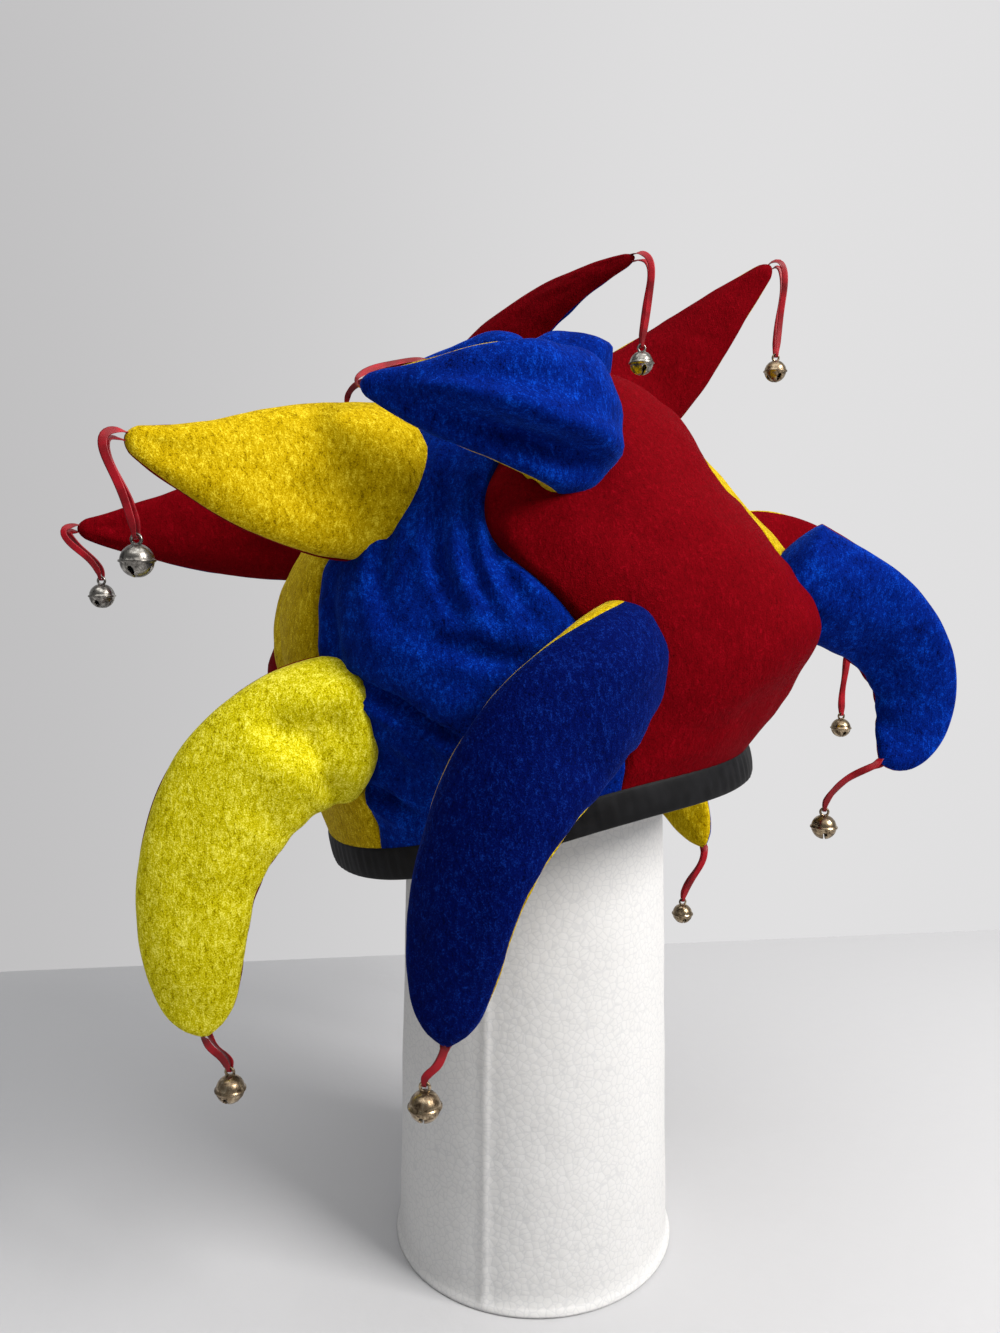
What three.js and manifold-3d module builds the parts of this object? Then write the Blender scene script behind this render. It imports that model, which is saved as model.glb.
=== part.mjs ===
// A three-colour jester hat with twelve belled horns, standing on a plain foam column.
// Millimetres and degrees. +Z is up and the hat's front looks along -Y. Angles round the hat
// start at the front and grow towards +X. The origin is the middle of the column's foot.
import * as THREE from "three";
import { mergeVertices } from "three/addons/utils/BufferGeometryUtils.js";
import Module from "manifold-3d";

const wasm = await Module();
wasm.setup();

// Cloth
const clothWall = 2;
const clothGap = 0.3;

// Crown: six gores on a leaning axis
const rimRadius = 97.5;
const rimLevel = 219;
const crownHeight = 183;
const crownLean = -12;
const goreCount = 6;
const firstSeam = -41;
const gorePuff = 5;
const topHole = 2.2;

// Rim binding
const bindingWidth = 12;
const bindingThickness = 3.6;
const bindingSeat = 0.9;

// Horns
const lowHornWidth = 58;
const topHornWidth = 58;
const hornLength = 165;
const hornInset = 24;

// Bells and their ribbons
const bellRadius = 5.5;
const bellWall = 0.9;
const bellRidge = 0.5;
const bellSlot = 1.1;
const eyeWire = 0.55;
const eyeRadius = 1.7;
const eyeSeat = 1.3;
const ribbonWidth = 3.4;
const ribbonThickness = 0.5;
const ribbonLength = 50;
const ribbonArrive = 0.25;
const ribbonSpread = eyeWire + clothGap + ribbonThickness;
const bellDrop = bellRadius + eyeSeat + eyeRadius;

// Foam column
const columnFoot = 64.25;
const columnShoulder = 56;
const columnLip = 66;
const columnLipHeight = 4;
const domeHeight = 48;

// How finely the faceted surfaces are cut
const goreColumns = 4;
const goreRows = 8;
const leafColumns = 4;
const leafRows = 6;
const bellSides = 10;
const columnSides = 24;

// Crown sections from rim to point: rise is a share of crownHeight, left, right and depth are
// shares of rimRadius, and twist is how far the seams are turned there.
const crownSections = [
  { at: 0.0, rise: 0.0, left: 1.0, right: 1.0, depth: 1.0, twist: 0 },
  { at: 0.12, rise: 0.13, left: 1.01, right: 1.25, depth: 1.02, twist: -1 },
  { at: 0.26, rise: 0.27, left: 1.0, right: 1.42, depth: 1.03, twist: -3 },
  { at: 0.42, rise: 0.46, left: 1.0, right: 1.27, depth: 1.02, twist: -6 },
  { at: 0.56, rise: 0.62, left: 0.87, right: 1.1, depth: 0.94, twist: -6 },
  { at: 0.74, rise: 0.83, left: 0.48, right: 0.92, depth: 0.72, twist: 6 },
  { at: 0.88, rise: 0.955, left: 0.2, right: 0.62, depth: 0.44, twist: 8 },
  { at: 1.0, rise: 1.0, left: 0.0, right: 0.0, depth: 0.0, twist: 8 },
];

// Dents and swells of the crown: push is a share of rimRadius, outwards where positive.
const crownFolds = [
  { angle: -6, at: 0.5, wide: 14, tall: 0.13, push: -0.07 },
  { angle: -24, at: 0.2, wide: 9, tall: 0.12, push: -0.05 },
  { angle: 52, at: 0.4, wide: 22, tall: 0.25, push: 0.05 },
  { angle: -70, at: 0.25, wide: 16, tall: 0.2, push: -0.04 },
  { angle: 112, at: 0.35, wide: 20, tall: 0.22, push: 0.04 },
];

// The rim's edge is lifted round this angle, and the cloth above it up to the reach.
const rimWave = { angle: 15, wide: 38, lift: 9, reach: 0.3 };

// Horn outlines: width is a share of the horn's width, puff a share of the width there.
const hornSections = {
  low: [
    { at: 0.0, width: 1.0, puff: 0.72 },
    { at: 0.15, width: 0.97, puff: 0.6 },
    { at: 0.35, width: 0.9, puff: 0.46 },
    { at: 0.6, width: 0.77, puff: 0.42 },
    { at: 0.8, width: 0.64, puff: 0.4 },
    { at: 0.93, width: 0.43, puff: 0.42 },
    { at: 1.0, width: 0.13, puff: 0.7 },
  ],
  top: [
    { at: 0.0, width: 1.0, puff: 0.92 },
    { at: 0.15, width: 0.98, puff: 0.7 },
    { at: 0.35, width: 0.9, puff: 0.5 },
    { at: 0.6, width: 0.66, puff: 0.48 },
    { at: 0.8, width: 0.4, puff: 0.5 },
    { at: 0.93, width: 0.22, puff: 0.6 },
    { at: 1.0, width: 0.12, puff: 0.8 },
  ],
};

// One row a horn, in the order of the seams. foot is the share of the seam below it. length,
// size and ribbon are shares of hornLength, of the horn's width and of ribbonLength. turn and
// tilt give its heading at its start, middle and end, and roll turns its leaves about it. hang
// is where its bell hangs: right, back and down, as shares of its ribbon.
const lowHorns = [
  { foot: 0.27, length: 0.89, size: 1, turn: [-55, -76, -75], tilt: [0, -70, -100],
    roll: [8, 10, 10], ribbon: 0.28, hang: [0.57, 0.05, 0.78] },
  { foot: 0.28, length: 0.98, size: 0.93, turn: [-4, -84, -75], tilt: [0, -62, -88],
    roll: [10, 14, 14], ribbon: 0.3, hang: [-0.5, 0.1, 0.75] },
  { foot: 0.36, length: 0.73, size: 0.82, turn: [85, 107, 110], tilt: [-28, -52, -162],
    roll: [0, 30, 30], ribbon: 0.72, hang: [-0.55, 0.2, 0.6] },
  { foot: 0.35, length: 1, size: 1, turn: [140, 110, 60], tilt: [15, -5, -110],
    roll: [0, 0, 0], ribbon: 0.76, hang: [-0.1, -0.1, 0.92] },
  { foot: 0.31, length: 1.26, size: 1, turn: [155, 78, 45], tilt: [-5, -36, -62],
    roll: [0, 0, 0], ribbon: 0.66, hang: [-0.4, -0.12, 0.82] },
  { foot: 0.33, length: 1, size: 1, turn: [225, 120, 90], tilt: [0, -50, -80],
    roll: [0, 0, 0], ribbon: 0.72, hang: [0.1, 0, 0.95] },
];
const topHorns = [
  { foot: 0.69, length: 0.62, size: 1.06, turn: [-33, -48, -55], tilt: [-2, 4, 20],
    roll: [6, 8, 8], ribbon: 0.9, hang: [0.12, -0.05, 0.72] },
  { foot: 0.7, length: 0.61, size: 0.9, turn: [30, -80, -104], tilt: [14, 5, 15],
    roll: [0, 0, 0], ribbon: 0.8, hang: [0.62, 0.66, -0.2] },
  { foot: 0.88, length: 0.56, size: 0.62, turn: [75, 84, 90], tilt: [138, 186, 186],
    roll: [85, 90, 90], ribbon: 0.72, hang: [-0.6, 0.6, 0.3] },
  { foot: 0.74, length: 0.87, size: 1, turn: [140, 88, 86], tilt: [25, 43, 42],
    roll: [0, 0, 0], ribbon: 1.08, hang: [0.04, 0, 0.84] },
  { foot: 0.74, length: 0.93, size: 0.66, turn: [100, 66, 60], tilt: [80, 40, 12],
    roll: [0, 0, 0], ribbon: 1, hang: [0.04, 0.02, 0.8], leaves: ["blue", "red"] },
  { foot: 0.66, length: 0.72, size: 1, turn: [-95, -80, -65], tilt: [5, -5, 5],
    roll: [0, 0, 0], ribbon: 0.76, hang: [0.32, 0, 0.58] },
];

// Colours by gore: yellow, blue and red, twice round.
const colours = { yellow: 0xe8d800, blue: 0x0b2a9c, red: 0xb00a1e };
const goreNames = [
  "panel_front_blue",
  "panel_front_red",
  "panel_back_yellow",
  "panel_back_blue",
  "panel_back_red",
  "panel_front_yellow",
];
const goreColours = ["blue", "red", "yellow", "blue", "red", "yellow"];

const radians = THREE.MathUtils.degToRad;

// Smooth value of a table's column at a place between its rows.
function valueAt(rows, column, at) {
  const last = rows.length - 1;
  let i = 0;
  while (i < last - 1 && at > rows[i + 1].at) i += 1;
  const here = rows[i];
  const next = rows[i + 1];
  const span = next.at - here.at;
  const t = THREE.MathUtils.clamp((at - here.at) / span, 0, 1);
  const slopeOf = (a, b) => (rows[b][column] - rows[a][column]) / (rows[b].at - rows[a].at);
  const startSlope = i > 0 ? slopeOf(i - 1, i + 1) : slopeOf(i, i + 1);
  const endSlope = i + 1 < last ? slopeOf(i, i + 2) : slopeOf(i, i + 1);
  const t2 = t * t;
  const t3 = t2 * t;
  return (
    (2 * t3 - 3 * t2 + 1) * here[column] +
    (t3 - 2 * t2 + t) * span * startSlope +
    (3 * t2 - 2 * t3) * next[column] +
    (t3 - t2) * span * endSlope
  );
}

function wrapDegrees(angle) {
  return THREE.MathUtils.euclideanModulo(angle + 180, 360) - 180;
}

// How far folds, and the puff between two seams, push the crown out at a place.
function crownPush(angle, at) {
  const share = THREE.MathUtils.euclideanModulo(angle - firstSeam, 60) / 60;
  const puff = gorePuff * Math.sqrt(Math.sin(Math.PI * share)) * Math.sin(Math.PI * at);
  const folds = crownFolds.reduce((sum, fold) => {
    const round = wrapDegrees(angle - fold.angle) / fold.wide;
    const up = (at - fold.at) / fold.tall;
    return sum + fold.push * rimRadius * Math.exp(-round * round - up * up);
  }, 0);
  return puff + folds;
}

function rimLift(angle, at) {
  const round = wrapDegrees(angle - rimWave.angle) / rimWave.wide;
  const fade = Math.max(1 - at / rimWave.reach, 0);
  return rimWave.lift * Math.exp(-round * round) * fade * fade;
}

// A point of the crown's outside, before the crown leans. at goes from 0, rim, to 1, point.
function uprightPoint(angle, at) {
  const push = crownPush(angle, at) / rimRadius;
  const turned = radians(angle + valueAt(crownSections, "twist", at));
  const half = Math.sin(turned) > 0 ? "right" : "left";
  const side = (valueAt(crownSections, half, at) + push) * rimRadius;
  const depth = (valueAt(crownSections, "depth", at) + push) * rimRadius;
  const rise = valueAt(crownSections, "rise", at) * crownHeight + rimLift(angle, at);
  return new THREE.Vector3(side * Math.sin(turned), -depth * Math.cos(turned), rise);
}

const leanAxis = new THREE.Vector3(0, 1, 0);
const downwards = new THREE.Vector3(0, 0, -1);
const crownPlace = new THREE.Vector3(0, 0, rimLevel);

// The crown's outward normal, found from points a small step away.
function crownNormal(angle, at) {
  const step = 0.5;
  const rise = 0.01;
  const round = uprightPoint(angle + step, at).sub(uprightPoint(angle - step, at));
  const low = Math.max(at - rise, 0);
  const high = Math.min(at + rise, 0.99);
  const up = uprightPoint(angle, high).sub(uprightPoint(angle, low));
  return round.cross(up).normalize();
}

function crownPoint(angle, at, offset) {
  return uprightPoint(angle, at)
    .addScaledVector(crownNormal(angle, at), offset)
    .applyAxisAngle(leanAxis, radians(crownLean))
    .add(crownPlace);
}

function crownDirection(vector) {
  return vector.applyAxisAngle(leanAxis, radians(crownLean)).normalize();
}

// Closed meshes are collected as the corners of their triangles.
function addQuad(corners, a, b, c, d) {
  corners.push(a, b, c, a, c, d);
}

function solidOf(geometry) {
  const bare = new THREE.BufferGeometry().setAttribute("position", geometry.attributes.position);
  if (geometry.index) bare.setIndex(geometry.index);
  const merged = mergeVertices(bare, 1e-4);
  const mesh = new wasm.Mesh({
    numProp: 3,
    vertProperties: merged.attributes.position.array,
    triVerts: new Uint32Array(merged.index.array),
  });
  return new wasm.Manifold(mesh);
}

function solidFrom(corners) {
  const flat = new Float32Array(corners.flatMap((point) => point.toArray()));
  return solidOf(
    new THREE.BufferGeometry().setAttribute("position", new THREE.BufferAttribute(flat, 3)),
  );
}

function geometryOf(solid) {
  const mesh = solid.getMesh();
  const geometry = new THREE.BufferGeometry();
  geometry.setAttribute("position", new THREE.BufferAttribute(mesh.vertProperties, 3));
  geometry.setIndex(new THREE.BufferAttribute(mesh.triVerts, 1));
  return geometry;
}

// The piece of a cut solid that holds most of it: a cut can leave slivers.
function largestOf(solid) {
  return solid.decompose().reduce((a, b) => (b.volume() > a.volume() ? b : a));
}

// A wall between two grids of points. The first index runs to the right, seen from outside.
function wallSolid(outer, inner) {
  const corners = [];
  const columns = outer.length - 1;
  const rows = outer[0].length - 1;
  for (let i = 0; i < columns; i += 1) {
    for (let j = 0; j < rows; j += 1) {
      addQuad(corners, outer[i][j], outer[i + 1][j], outer[i + 1][j + 1], outer[i][j + 1]);
      addQuad(corners, inner[i][j], inner[i][j + 1], inner[i + 1][j + 1], inner[i + 1][j]);
    }
    addQuad(corners, inner[i][0], inner[i + 1][0], outer[i + 1][0], outer[i][0]);
    addQuad(corners, outer[i][rows], outer[i + 1][rows], inner[i + 1][rows], inner[i][rows]);
  }
  for (let j = 0; j < rows; j += 1) {
    addQuad(corners, inner[0][j], outer[0][j], outer[0][j + 1], inner[0][j + 1]);
    const right = columns;
    addQuad(corners, outer[right][j], inner[right][j], inner[right][j + 1], outer[right][j + 1]);
  }
  return solidFrom(corners);
}

// A solid through closed rings of points, with flat ends. Each ring runs to the right, seen
// from outside, and the rings follow each other upwards.
function ringSolid(rings) {
  const corners = [];
  const count = rings[0].length;
  const middleOf = (ring) =>
    ring.reduce((sum, point) => sum.add(point), new THREE.Vector3()).divideScalar(count);
  for (let j = 0; j + 1 < rings.length; j += 1) {
    for (let i = 0; i < count; i += 1) {
      const next = (i + 1) % count;
      addQuad(corners, rings[j][i], rings[j][next], rings[j + 1][next], rings[j + 1][i]);
    }
  }
  const first = rings[0];
  const last = rings[rings.length - 1];
  const foot = middleOf(first);
  const head = middleOf(last);
  for (let i = 0; i < count; i += 1) {
    const next = (i + 1) % count;
    corners.push(foot, first[next], first[i], head, last[i], last[next]);
  }
  return solidFrom(corners);
}

// A band that closes on itself, through rings that follow each other round.
function loopSolid(rings) {
  const corners = [];
  const count = rings[0].length;
  rings.forEach((ring, j) => {
    const next = rings[(j + 1) % rings.length];
    for (let i = 0; i < count; i += 1) {
      const k = (i + 1) % count;
      addQuad(corners, ring[i], ring[k], next[k], next[i]);
    }
  });
  return solidFrom(corners);
}

const range = (count) => Array.from({ length: count }, (unused, i) => i);
const goreAngle = 360 / goreCount;
const seamAngle = (seam) => firstSeam + seam * goreAngle;

// The last row of the gores stops where a hole of this radius is left round the point.
const goreTop = 1 - topHole / (rimRadius * 3.6);

// The angle that half a seam's gap takes up at a height.
function seamMargin(angle, at) {
  const step = 1;
  const arc = uprightPoint(angle + step, at).distanceTo(uprightPoint(angle - step, at));
  return clothGap / arc;
}

// Rows lie closer together near the rim and the point.
const rowAt = (j) => goreTop * (j / goreRows) ** 1.05;

function goreSolid(gore) {
  const left = seamAngle(gore);
  const gridAt = (offset) =>
    range(goreColumns + 1).map((i) =>
      range(goreRows + 1).map((j) => {
        const at = rowAt(j);
        const margin = i === 0 ? 1 : i === goreColumns ? -1 : 0;
        const angle = left + (goreAngle * i) / goreColumns;
        return crownPoint(angle + margin * seamMargin(angle, at), at, offset);
      }),
    );
  return wallSolid(gridAt(0), gridAt(-clothWall));
}

// The crown as a full body, a gap larger all round: it trims the feet of the horns.
function crownBlank() {
  const rings = range(goreRows + 1).map((j) =>
    range(goreCount * goreColumns).map((i) =>
      crownPoint(firstSeam + (goreAngle * i) / goreColumns, rowAt(j), 1.5 * clothGap),
    ),
  );
  return ringSolid(rings);
}

// Value at a place between a start, a middle and an end.
function bend([start, middle, end], at) {
  const t = THREE.MathUtils.clamp(at, 0, 1);
  return start * (1 - t) * (1 - 2 * t) + 4 * middle * t * (1 - t) + end * t * (2 * t - 1);
}

// The axes of a horn at a place: along it, up its leaves, and out of its face.
function hornAxes(horn, at) {
  const turn = radians(bend(horn.turn, at));
  const tilt = radians(bend(horn.tilt, at));
  const along = new THREE.Vector3(
    Math.cos(tilt) * Math.sin(turn),
    -Math.cos(tilt) * Math.cos(turn),
    Math.sin(tilt),
  );
  const roll = radians(bend(horn.roll, at));
  const face = new THREE.Vector3(Math.cos(turn), Math.sin(turn), 0).applyAxisAngle(along, roll);
  return { along, face, up: along.clone().cross(face) };
}

// The middle line of a horn, as places a small step apart that start on the crown.
function hornLine(horn) {
  const steps = 60;
  const points = [crownPoint(seamAngle(horn.seam), horn.foot, 0)];
  for (let k = 0; k < steps; k += 1) {
    const { along } = hornAxes(horn, (k + 0.5) / steps);
    points.push(points[k].clone().addScaledVector(along, horn.length / steps));
  }
  return points;
}

function hornFrame(horn, at) {
  const axes = hornAxes(horn, at);
  const last = horn.line.length - 1;
  const place = THREE.MathUtils.clamp(at, 0, 1) * last;
  const k = Math.min(Math.floor(place), last - 1);
  const middle = horn.line[k].clone().lerp(horn.line[k + 1], place - k);
  if (at < 0) middle.addScaledVector(axes.along, at * horn.length);
  return { middle, ...axes };
}

// A point of a leaf's outside, or of its inside where inset is the wall. turn goes from 0, the
// lower edge, to pi, the upper one. side is 1 on the face and -1 on the back.
function leafPoint(horn, at, turn, side, inset) {
  const { middle, up, face } = hornFrame(horn, at);
  const sections = hornSections[horn.kind];
  const place = Math.max(at, 0);
  const width = valueAt(sections, "width", place) * horn.width;
  const puff = valueAt(sections, "puff", place) * width;
  const halfWidth = Math.max(width / 2 - inset, 0.3);
  const halfPuff = Math.max(puff / 2 - inset, 0.2);
  return middle
    .addScaledVector(up, -Math.cos(turn) * halfWidth)
    .addScaledVector(face, side * (clothGap / 2 + Math.sin(turn) * halfPuff));
}

function leafRowAt(horn, j) {
  const start = -hornInset / horn.length;
  return start + (1 - start) * (j / leafRows);
}

function leafSolid(horn, side) {
  const gridAt = (inset) =>
    range(leafColumns + 1).map((i) =>
      range(leafRows + 1).map((j) => {
        const turn = (Math.PI * (side > 0 ? i : leafColumns - i)) / leafColumns;
        return leafPoint(horn, leafRowAt(horn, j), turn, side, inset);
      }),
    );
  return wallSolid(gridAt(0), gridAt(clothWall));
}

// The hollow of a horn's foot, which the gores are open to.
function footBore(horn) {
  const rings = [-1, -0.5, 0, 0.5].map((place) => {
    const at = (place * hornInset) / horn.length;
    const half = (side) =>
      range(leafColumns + 1).map((i) => {
        const turn = (Math.PI * (side > 0 ? i : leafColumns - i)) / leafColumns;
        return leafPoint(horn, at, turn, side, clothWall);
      });
    return [...half(1), ...half(-1)];
  });
  return ringSolid(rings);
}

// The ribbon's middle line, from the horn's tip to the bell's eye, where it hangs straight down.
function ribbonLine(horn) {
  const { middle: tip, along } = hornFrame(horn, 1);
  const [right, back, down] = horn.hang;
  const start = tip.clone().addScaledVector(along, clothGap + ribbonSpread + ribbonThickness);
  const end = start.clone().add(new THREE.Vector3(right, back, -down).multiplyScalar(horn.ribbon));
  const slack = Math.sqrt(Math.max(0.02, 1 - right ** 2 - back ** 2 - down ** 2));
  const leave = start.clone().addScaledVector(along, horn.ribbon * slack * 0.5);
  const arrive = end.clone().add(new THREE.Vector3(0, 0, horn.ribbon * ribbonArrive));
  return new THREE.CubicBezierCurve3(start, leave, arrive, end);
}

// The doubled ribbon: down, through the eye, back up and round at the tip.
function ribbonSolid(horn) {
  const line = ribbonLine(horn);
  const turn = radians(horn.turn[2]);
  const across = new THREE.Vector3(Math.cos(turn), Math.sin(turn), 0);
  const legSteps = 4;
  const turnSteps = 2;
  const legAt = (k) => (k / legSteps) ** 1.4;
  const half = ribbonThickness / 2;
  const ringAt = (at, round) => {
    const along = line.getTangentAt(at);
    const apart = along.clone().cross(across).normalize();
    const out = apart.multiplyScalar(Math.cos(round)).addScaledVector(along, Math.sin(round));
    const middle = line.getPointAt(at).addScaledVector(out, ribbonSpread);
    const width = at === 1 ? eyeRadius - eyeWire : ribbonWidth;
    return [
      [-half, width / 2],
      [half, width / 2],
      [half, -width / 2],
      [-half, -width / 2],
    ].map(([push, over]) =>
      middle.clone().addScaledVector(out, push).addScaledVector(across, over),
    );
  };
  const down = range(legSteps + 1).map((k) => ringAt(legAt(k), 0));
  const under = range(turnSteps).map((k) => ringAt(1, (Math.PI * (k + 1)) / (turnSteps + 1)));
  const back = range(legSteps + 1).map((k) => ringAt(legAt(legSteps - k), Math.PI));
  const over = range(turnSteps).map((k) => ringAt(0, Math.PI * (1 + (k + 1) / (turnSteps + 1))));
  return loopSolid([...down, ...under, ...back, ...over]);
}

// The bell, with its eye on top and crossed slots below, about its own middle.
function bellSolid() {
  const arc = (radius, degrees) => {
    const angle = radians(degrees);
    return new THREE.Vector2(radius * Math.cos(angle), radius * Math.sin(angle));
  };
  const inside = bellRadius - bellWall;
  const outline = [
    arc(inside, 90),
    arc(inside, 15),
    arc(inside, -76),
    arc(bellRadius, -78),
    arc(bellRadius, -42),
    arc(bellRadius + bellRidge, 0),
    arc(bellRadius, 50),
    arc(bellRadius, 90),
  ];
  outline[0].x = 0;
  outline[outline.length - 1].x = 0;
  const ball = new THREE.LatheGeometry(outline, bellSides).rotateX(Math.PI / 2);
  let bell = solidOf(ball);
  for (const quarter of [0, 1]) {
    const slot = new THREE.BoxGeometry(bellRadius * 1.75, bellSlot, bellRadius)
      .rotateZ((quarter * Math.PI) / 2)
      .translate(0, 0, -bellRadius * 0.85);
    bell = bell.subtract(solidOf(slot));
  }
  const eye = new THREE.TorusGeometry(eyeRadius, eyeWire, 4, 7).rotateX(Math.PI / 2);
  return bell.add(solidOf(eye.translate(0, 0, bellRadius + eyeSeat)));
}

// The satin band round the rim, a folded strip whose middle line follows the gores' lower edge.
function bindingSolid() {
  const rings = [];
  const sides = goreCount * goreColumns;
  for (let i = 0; i < sides; i += 1) {
    const angle = firstSeam + (goreAngle * i) / goreColumns;
    const edge = crownPoint(angle, 0, -clothWall / 2);
    const outward = crownDirection(
      new THREE.Vector3(Math.sin(radians(angle)), -Math.cos(radians(angle)), 0),
    );
    const down = crownDirection(downwards.clone());
    const half = bindingThickness / 2;
    const top = bindingSeat;
    const low = top + bindingWidth;
    const corner = (out, drop) =>
      edge.clone().addScaledVector(outward, out).addScaledVector(down, drop);
    rings.push([
      corner(half * 0.7, top),
      corner(half, top + bindingWidth * 0.4),
      corner(half * 0.6, low),
      corner(-half * 0.6, low),
      corner(-half * 0.7, top),
    ]);
  }
  return loopSolid(rings);
}

// How high the column's dome reaches: a gap below the inside of the crown, at every facet.
function domeTop() {
  const shares = [0, 0.25, 0.5, 0.75];
  let top = Infinity;
  for (let j = 5; j < goreRows; j += 1) {
    for (let i = 0; i < goreCount * goreColumns; i += 1) {
      const angles = [i, i + 1].map((k) => firstSeam + (goreAngle * k) / goreColumns);
      const rows = [rowAt(j), rowAt(j + 1)];
      const [a, b] = rows.map((at) => crownPoint(angles[0], at, -clothWall));
      const [c, d] = rows.map((at) => crownPoint(angles[1], at, -clothWall));
      for (const u of shares) {
        for (const v of shares) {
          const left = a.clone().lerp(b, v);
          const point = left.lerp(c.clone().lerp(d, v), u);
          const reach = Math.hypot(point.x, point.y) / columnShoulder;
          if (reach < 1) {
            const drop = domeHeight * (1 - Math.sqrt(1 - reach * reach));
            top = Math.min(top, point.z + drop);
          }
        }
      }
    }
  }
  return top - 2 * clothGap;
}

// The foam column: a lip at its foot, a slightly tapered side, and a rounded top in the hat.
function columnGeometry() {
  const top = domeTop();
  const shoulder = top - domeHeight;
  const outline = [
    new THREE.Vector2(0, 0),
    new THREE.Vector2(columnLip, 0),
    new THREE.Vector2(columnLip, columnLipHeight * 0.5),
    new THREE.Vector2(columnFoot, columnLipHeight),
  ];
  for (const share of [0.35, 0.7]) {
    outline.push(
      new THREE.Vector2(
        THREE.MathUtils.lerp(columnFoot, columnShoulder, share),
        THREE.MathUtils.lerp(columnLipHeight, shoulder, share),
      ),
    );
  }
  const steps = 5;
  for (let k = 0; k <= steps; k += 1) {
    const turn = ((Math.PI / 2) * k) / steps;
    outline.push(
      new THREE.Vector2(columnShoulder * Math.cos(turn), shoulder + domeHeight * Math.sin(turn)),
    );
  }
  outline[outline.length - 1].x = 0;
  return new THREE.LatheGeometry(outline, columnSides).rotateX(Math.PI / 2);
}

const satinBlack = new THREE.MeshStandardMaterial({ color: 0x08080a, roughness: 0.45 });
const satinRed = new THREE.MeshStandardMaterial({ color: 0xa80d1c, roughness: 0.4 });
const bellMetal = new THREE.MeshStandardMaterial({ color: 0x7a6a55, roughness: 0.35, metalness: 1 });
const foam = new THREE.MeshStandardMaterial({ color: 0xf2f0ec, roughness: 0.9 });
const velour = Object.fromEntries(
  Object.entries(colours).map(([name, color]) => [
    name,
    new THREE.MeshStandardMaterial({ color, roughness: 0.85, name }),
  ]),
);

const hat = new THREE.Group();

function addPiece(name, geometry, material) {
  const mesh = new THREE.Mesh(geometry, material.clone());
  mesh.name = name;
  hat.add(mesh);
  return mesh;
}

// The horns with the places that they take on the crown.
function placeHorns(rows, kind, width) {
  return rows.map((row, seam) => {
    const before = goreColours[(seam + goreCount - 1) % goreCount];
    const beforeThat = goreColours[(seam + goreCount - 2) % goreCount];
    const horn = { leaves: [before, beforeThat], ...row, seam, kind };
    horn.width = row.size * width;
    horn.length = row.length * hornLength;
    horn.ribbon = row.ribbon * ribbonLength;
    horn.line = hornLine(horn);
    return horn;
  });
}

const horns = [
  ...placeHorns(lowHorns, "low", lowHornWidth),
  ...placeHorns(topHorns, "top", topHornWidth),
];

const blank = crownBlank();
const bell = geometryOf(bellSolid());
const gores = range(goreCount).map(goreSolid);

for (const horn of horns) {
  const bore = footBore(horn);
  for (const gore of [horn.seam, (horn.seam + goreCount - 1) % goreCount]) {
    gores[gore] = gores[gore].subtract(bore);
  }
  const label = `${horn.kind}_${horn.seam + 1}`;
  ["face", "back"].forEach((leaf, k) => {
    const solid = largestOf(leafSolid(horn, k === 0 ? 1 : -1).subtract(blank));
    addPiece(`horn_${label}_${leaf}`, geometryOf(solid), velour[horn.leaves[k]]);
  });
  addPiece(`ribbon_${label}`, geometryOf(ribbonSolid(horn)), satinRed);
  const hung = addPiece(`bell_${label}`, bell.clone(), bellMetal);
  hung.position.copy(ribbonLine(horn).getPointAt(1)).addScaledVector(downwards, bellDrop);
  hung.rotation.z = radians(horn.turn[2]);
}
gores.forEach((solid, gore) => {
  addPiece(goreNames[gore], geometryOf(largestOf(solid)), velour[goreColours[gore]]);
});
addPiece("rim_binding", geometryOf(bindingSolid()), satinBlack);
addPiece("foam_stand", geometryOf(solidOf(columnGeometry())), foam);

export default hat;
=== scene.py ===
# A jester hat of crushed velour with belled horns, on a plain foam column.
# Sizes in the tables are millimetres and degrees, as in the frame's own plan of the hat.
# Angles round the hat start at its front, which looks along -Y, and grow towards +X.
import math
import bmesh
import bpy
import numpy as np
from mathutils import Matrix, Vector, noise


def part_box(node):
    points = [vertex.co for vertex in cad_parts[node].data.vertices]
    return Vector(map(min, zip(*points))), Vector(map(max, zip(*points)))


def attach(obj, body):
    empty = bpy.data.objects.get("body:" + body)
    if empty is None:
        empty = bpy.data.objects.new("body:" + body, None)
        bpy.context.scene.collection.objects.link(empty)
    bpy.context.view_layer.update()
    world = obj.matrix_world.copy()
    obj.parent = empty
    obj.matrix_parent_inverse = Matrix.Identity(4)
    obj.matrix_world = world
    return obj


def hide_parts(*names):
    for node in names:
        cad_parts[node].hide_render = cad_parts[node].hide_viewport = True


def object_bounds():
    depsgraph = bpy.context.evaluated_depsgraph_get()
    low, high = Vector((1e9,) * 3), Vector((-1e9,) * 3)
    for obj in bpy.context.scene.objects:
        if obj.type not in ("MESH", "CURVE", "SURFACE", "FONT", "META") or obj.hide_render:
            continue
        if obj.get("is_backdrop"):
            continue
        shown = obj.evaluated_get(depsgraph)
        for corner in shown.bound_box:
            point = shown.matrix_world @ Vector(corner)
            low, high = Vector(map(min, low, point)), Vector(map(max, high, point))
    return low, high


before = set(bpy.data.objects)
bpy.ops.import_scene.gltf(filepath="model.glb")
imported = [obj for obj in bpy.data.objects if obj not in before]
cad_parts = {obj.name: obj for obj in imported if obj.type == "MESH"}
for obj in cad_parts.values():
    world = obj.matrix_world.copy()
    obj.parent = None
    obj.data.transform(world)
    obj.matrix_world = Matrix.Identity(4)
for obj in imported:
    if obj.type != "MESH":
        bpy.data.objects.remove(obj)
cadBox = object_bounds()
scene = bpy.context.scene
mm = 0.001
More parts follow.
